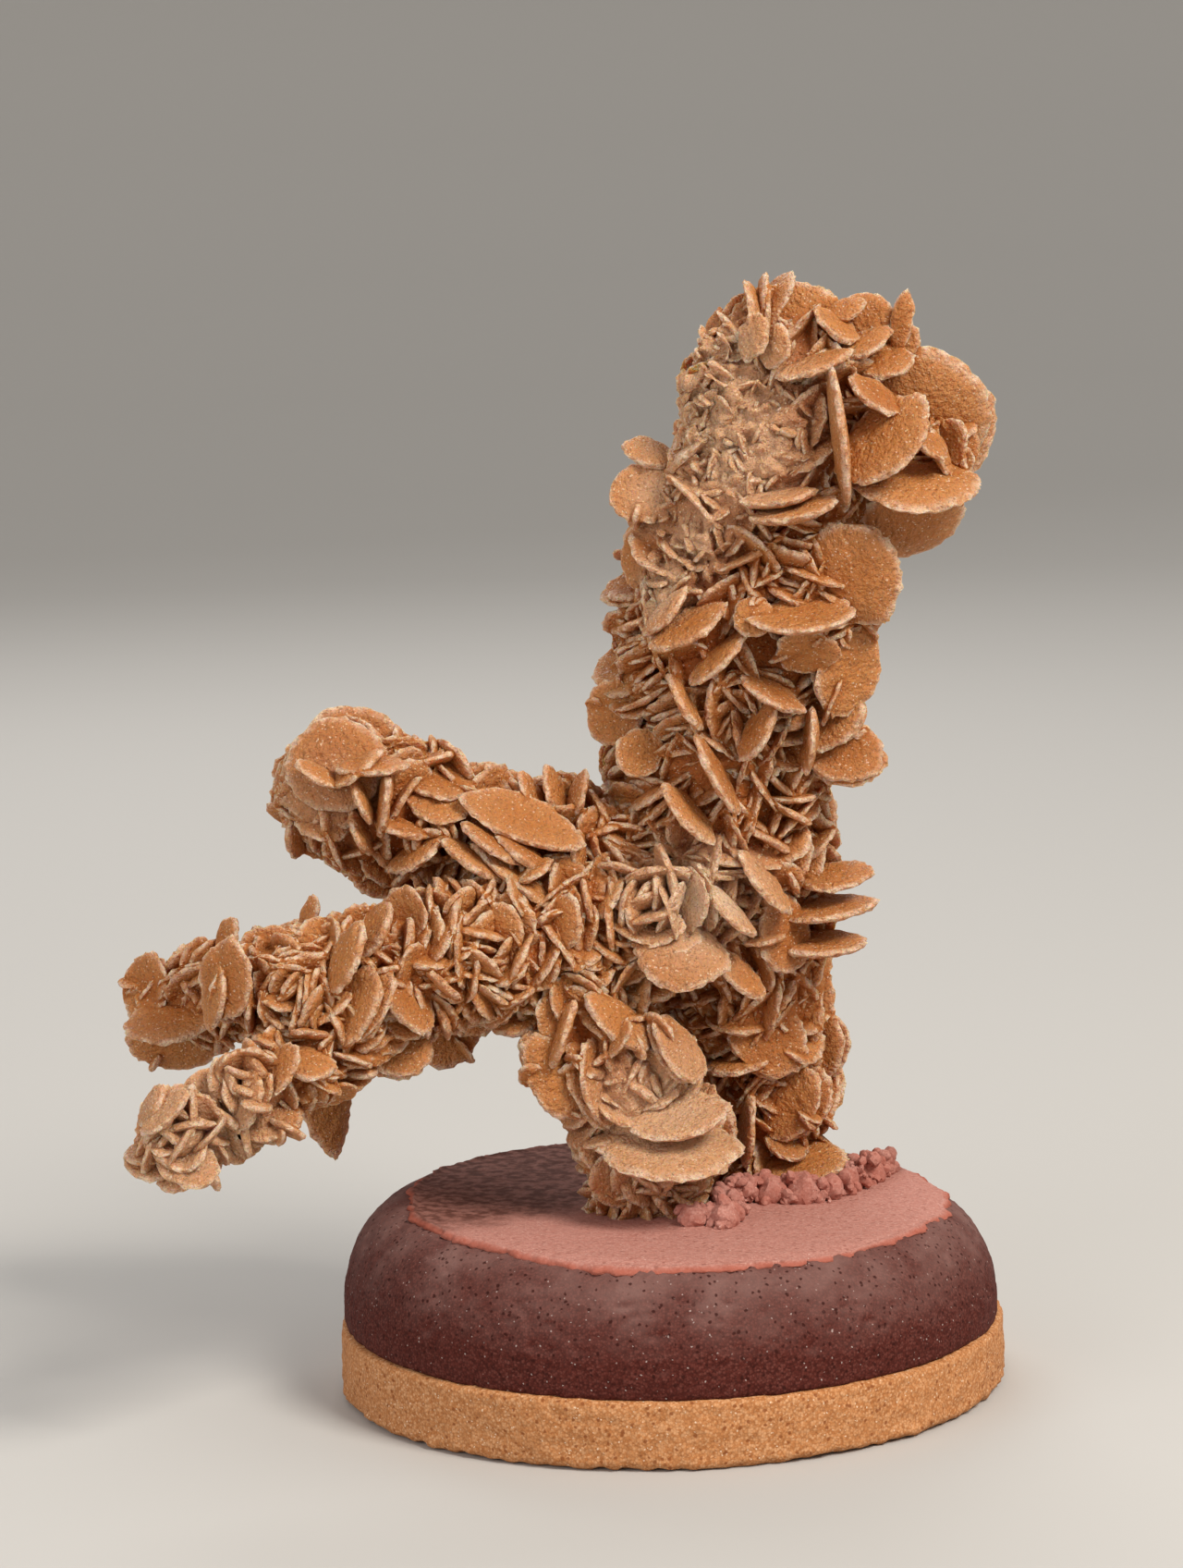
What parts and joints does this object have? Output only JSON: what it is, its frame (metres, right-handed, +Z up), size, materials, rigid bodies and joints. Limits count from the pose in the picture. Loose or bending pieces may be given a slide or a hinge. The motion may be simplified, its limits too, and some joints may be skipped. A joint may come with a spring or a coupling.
{
  "type": "gypsum sand rose on a cast sand base",
  "caption": "Branching gypsum sand rose of crossing lens-shaped blades, standing in a round cast base of coloured sand; a mineral specimen for display.",
  "frame": {"origin": "centre of the base's flat underside", "axes": "+Z up along the standing height, -Y towards the front with the leg, -X towards the arms"},
  "size_m": [0.1381, 0.1003, 0.167],
  "materials": {
    "tan_sand": "coarse tan sand bound in a cast, matte with fine glints",
    "maroon_sand": "dark maroon sand bound in a cast, rubbed to a soft sheen, with pits and white glints",
    "red_pink_sand": "fine red-pink sand, matte, crumbly at its edge",
    "gypsum_blades": "caramel gypsum full of sand grains, sugary sparkle, paler worn rims"
  },
  "bodies": {
    "root": {"base_foot_layer": "tan_sand", "base_body": "maroon_sand", "base_top_fill": "red_pink_sand", "rose_trunk": "gypsum_blades", "rose_upper_arm": "gypsum_blades", "rose_lower_arm": "gypsum_blades", "rose_lower_twig": "gypsum_blades", "rose_rear_arm": "gypsum_blades", "rose_front_leg": "gypsum_blades"}
  },
  "joints": []
}
